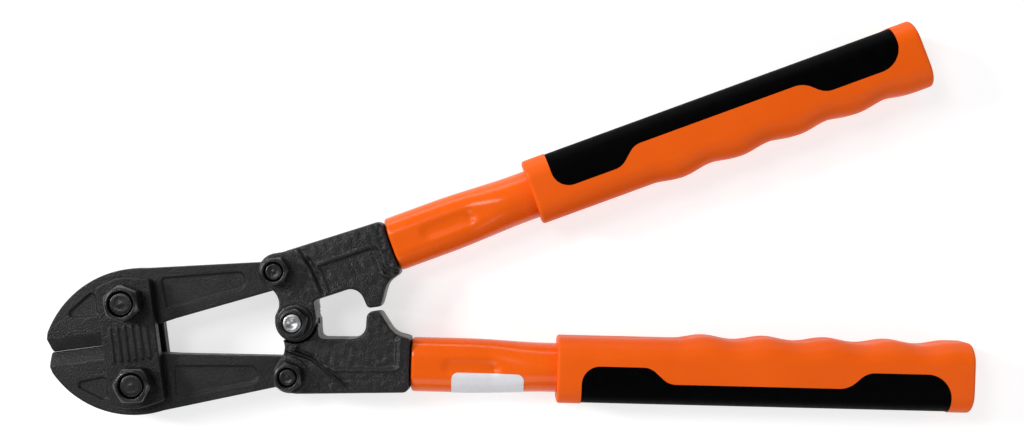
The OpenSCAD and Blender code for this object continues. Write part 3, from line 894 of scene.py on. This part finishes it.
# The grip's ends, how far its outer and its finger side are from the axis, and its half thickness
GRIP_X, GRIP_END = 87.3, 224.25
GRIP_OUT, GRIP_IN, GRIP_HALF = 11.2, 10.65, 11.0
# Radius of its long edges, fall of its faces towards them, and how its two ends are rounded
GRIP_ROUND, GRIP_CROWN = 6.6, 0.03
FRONT_ROUND, END_ROUND = 0.9, 1.2
# The end face leans this much towards the finger side
END_LEAN = 0.0136
BORE_R, BORE_DEPTH = 8.24, 5.7
# The finger waves
WAVE_X, WAVE_PITCH, WAVE_COUNT, WAVE_H = 126.0, 20.6, 4.5, 1.3
# The inlay's edge over the axis, at its narrow band and at its two lobes
BAND, LOBE = 3.45, -1.9
# Depths below the grip's skin of the pocket and of the inlay in it, and the gap round the inlay
POCKET_FLOOR, INLAY_FLOOR, INLAY_TOP, INLAY_GAP = 1.5, 1.4, 0.3, 0.08
# Half height of a cutter that runs right through a grip
THROUGH = 13


def wave_depth(x):
    """How far the finger side stands out beyond its straight part."""
    turns = np.clip((x - WAVE_X) / WAVE_PITCH, 0, WAVE_COUNT)
    return float(WAVE_H / 2 * (1 - np.cos(2 * math.pi * turns)))


def grip_section(x, inset=0.0):
    """Points round the grip's section at x: a rounded block, slightly crowned on its faces."""
    low = -GRIP_IN - wave_depth(x) + inset
    high = GRIP_OUT - inset
    r = GRIP_ROUND - inset
    centre, flat_v, flat_z = (low + high) / 2, (high - low) / 2 - r, GRIP_HALF - inset - r
    # Each quarter is half of a flat, a quarter arc and half of the next flat
    quarter, along = (AROUND * 4).astype(int), (AROUND * 4) % 1
    first = np.clip(along / 0.25, 0, 1)
    turn = np.clip((along - 0.25) / 0.5, 0, 1) * math.pi / 2
    last = np.clip((along - 0.75) / 0.25, 0, 1)
    v, z = np.zeros_like(AROUND), np.zeros_like(AROUND)
    for q, (sign_v, sign_z) in enumerate(((1, 1), (-1, 1), (-1, -1), (1, -1))):
        here = quarter == q
        c, s = np.cos(turn[here]), np.sin(turn[here])
        if q % 2 == 0:
            v[here] = sign_v * (flat_v * (1 - last[here]) + r * c)
            z[here] = sign_z * (flat_z * first[here] + r * s)
        else:
            v[here] = sign_v * (flat_v * first[here] + r * s)
            z[here] = sign_z * (flat_z * (1 - last[here]) + r * c)
    z = z * (1 - GRIP_CROWN * (v / GRIP_HALF) ** 2)
    return v + centre, z


def grip_rings(hand, inset, bored=False):
    """Rings of the grip's skin, moved inwards by inset; bored adds the mouth of its bore."""
    rings = []
    shift = hand["shift"]
    start, end = GRIP_X + shift, GRIP_END + shift
    if bored:
        v, z = grip_section(GRIP_X + 2)
        a = np.arctan2(z, v)
        for x, r in ((start + BORE_DEPTH, BORE_R), (start + 0.9, BORE_R), (start + 0.6, 8.4)):
            rings.append(on_handle(hand, x, r * np.cos(a), r * np.sin(a)))
    first, last = start + inset, end - inset

    def add_ring(x, more=0.0):
        v, z = grip_section(x - shift, inset + more)
        lean = END_LEAN * (v + 10) * step01(end - 8, end, x)
        rings.append(on_handle(hand, x - lean, v, z))

    for q in np.radians(np.linspace(0, 90, 6)):
        add_ring(first + FRONT_ROUND * (1 - math.cos(q)), FRONT_ROUND * (1 - math.sin(q)))
    for x in np.arange(first + FRONT_ROUND + 1, last - END_ROUND, 1.1):
        add_ring(x)
    for q in np.radians(np.linspace(90, 0, 9)):
        add_ring(last - END_ROUND * (1 - math.cos(q)), END_ROUND * (1 - math.sin(q)))
    return rings


def inlay_outline(hand, grow):
    """Two lobes joined by a narrow band, on the grip's outer side."""
    d = hand["shift"]
    lobe, band = LOBE - grow, BAND - grow
    return rounded([
        (95.3 + d - grow, 16), (95.3 + d - grow, lobe, 6), (117.7 + d + grow * 0.4, lobe, 6),
        (123.8 + d + grow * 0.4, band, 6), (182.5 + d - grow * 0.4, band, 8),
        (188.5 + d - grow * 0.4, lobe, 7), (215.9 + d + grow, lobe, 8), (216.9 + d + grow, 16),
    ], 10)


def boolean(target, cutter, operation):
    """Applies a boolean to the target and removes the cutter."""
    m = target.modifiers.new("cut", "BOOLEAN")
    m.object, m.operation, m.solver = cutter, operation, "EXACT"
    bpy.context.view_layer.update()
    dg = bpy.context.evaluated_depsgraph_get()
    me = bpy.data.meshes.new_from_object(target.evaluated_get(dg))
    target.modifiers.clear()
    target.data = me
    bpy.data.objects.remove(cutter)


def prism(name, hand, outline, depth):
    """The inlay's outline run through the grip, without the grip's core below the depth."""
    rings = [on_handle(hand, outline[:, 0], outline[:, 1], z) for z in (-THROUGH, THROUGH)]
    block = loft(name, rings, hand["side"])
    core = loft(name + "_core", grip_rings(hand, depth), hand["side"])
    boolean(block, core, "DIFFERENCE")
    return block


def make_grip(hand):
    who, side = hand["name"], hand["side"]
    grip = loft(who + "_grip_body", grip_rings(hand, 0, bored=True), side)
    boolean(grip, prism("cutter", hand, inlay_outline(hand, 0.0), POCKET_FLOOR), "DIFFERENCE")
    inlay = prism(who + "_soft_inlay", hand, inlay_outline(hand, -INLAY_GAP), INLAY_FLOOR)
    boolean(inlay, loft("skin", grip_rings(hand, INLAY_TOP), side), "INTERSECT")
    sharpen(grip, 35)
    sharpen(inlay, 35)
    finish_piece(grip, who + "_handle", "grip_plastic", M_GRIP, who + "_grip")
    finish_piece(inlay, who + "_handle", "grip_inlay", M_INLAY, who + "_grip_insert")


make_grip(UPPER)
make_grip(LOWER)


# ---------------------------------------------------------------- floor, lights, camera

FLOOR_HALF = 6.0
FLOOR_Z = -0.00005


def make_floor():
    """A light table: it glows a little, which keeps the shadows on it pale."""
    me = bpy.data.meshes.new("floor")
    corners = ((-1, -1), (1, -1), (1, 1), (-1, 1))
    me.from_pydata([(x * FLOOR_HALF, y * FLOOR_HALF, FLOOR_Z) for x, y in corners], [], [(0, 1, 2, 3)])
    ob = bpy.data.objects.new("floor", me)
    bpy.context.scene.collection.objects.link(ob)
    me.materials.append(surface(
        "floor_white", tone=(3, 2.0, (0.50,) * 3, (0.52,) * 3), Roughness=0.9,
        Specular_IOR_Level=0.0, Emission_Color=(1, 1, 1, 1), Emission_Strength=0.62))


make_floor()


def light(name, at, aim, size, power, tint=(1, 1, 1), size_y=None):
    """A square area light in metres and watts, or a rectangle where size_y is given."""
    data = bpy.data.lights.new(name, "AREA")
    data.energy, data.color = power, tint
    data.shape = "RECTANGLE" if size_y else "SQUARE"
    data.size = size
    if size_y:
        data.size_y = size_y
    ob = bpy.data.objects.new(name, data)
    ob.location = at
    ob.rotation_mode = "QUATERNION"
    ob.rotation_quaternion = (Vector(aim) - Vector(at)).to_track_quat("-Z", "Y")
    bpy.context.scene.collection.objects.link(ob)


light("key", (-0.95, 0.48, 0.7), (0.05, 0, 0), 0.3, 14, (1, 0.99, 0.98))
light("top", (-0.35, 0.4, 1.0), (0, 0, 0), 0.3, 3)
light("low", (-0.3, -0.9, 0.8), (0.07, 0, 0), 0.7, 3)
light("fill", (0.85, -0.5, 0.75), (0.07, 0, 0), 0.7, 3.5, (0.98, 0.99, 1))
light("wall", (0.07, 1.0, 0.16), (0.07, 0, 0.011), 1.7, 5.5, size_y=0.3)

world = bpy.data.worlds.new("studio")
bpy.context.scene.world = world
world.use_nodes = True
world.node_tree.nodes["Background"].inputs["Color"].default_value = (0.97, 0.98, 1, 1)
world.node_tree.nodes["Background"].inputs["Strength"].default_value = 0.22

# Where the camera stands over the mid-plane, how far it is turned, and how wide it sees there
CAMERA_AT, CAMERA_TURN = (75.3, 24.75), -7.4
DISTANCE = 430.0
VIEW_WIDTH = 343.04
SENSOR = 36
cam_data = bpy.data.cameras.new("camera")
cam_data.sensor_width = SENSOR
cam_data.lens = SENSOR * DISTANCE / VIEW_WIDTH
cam_data.clip_start, cam_data.clip_end = 0.02, 20
camera = bpy.data.objects.new("camera", cam_data)
camera.location = (CAMERA_AT[0] * MM, CAMERA_AT[1] * MM, (MID + DISTANCE) * MM)
camera.rotation_euler = (0, 0, math.radians(CAMERA_TURN))
bpy.context.scene.collection.objects.link(camera)
bpy.context.scene.camera = camera

bpy.context.scene.view_settings.view_transform = "Standard"

bpy.context.view_layer.update()
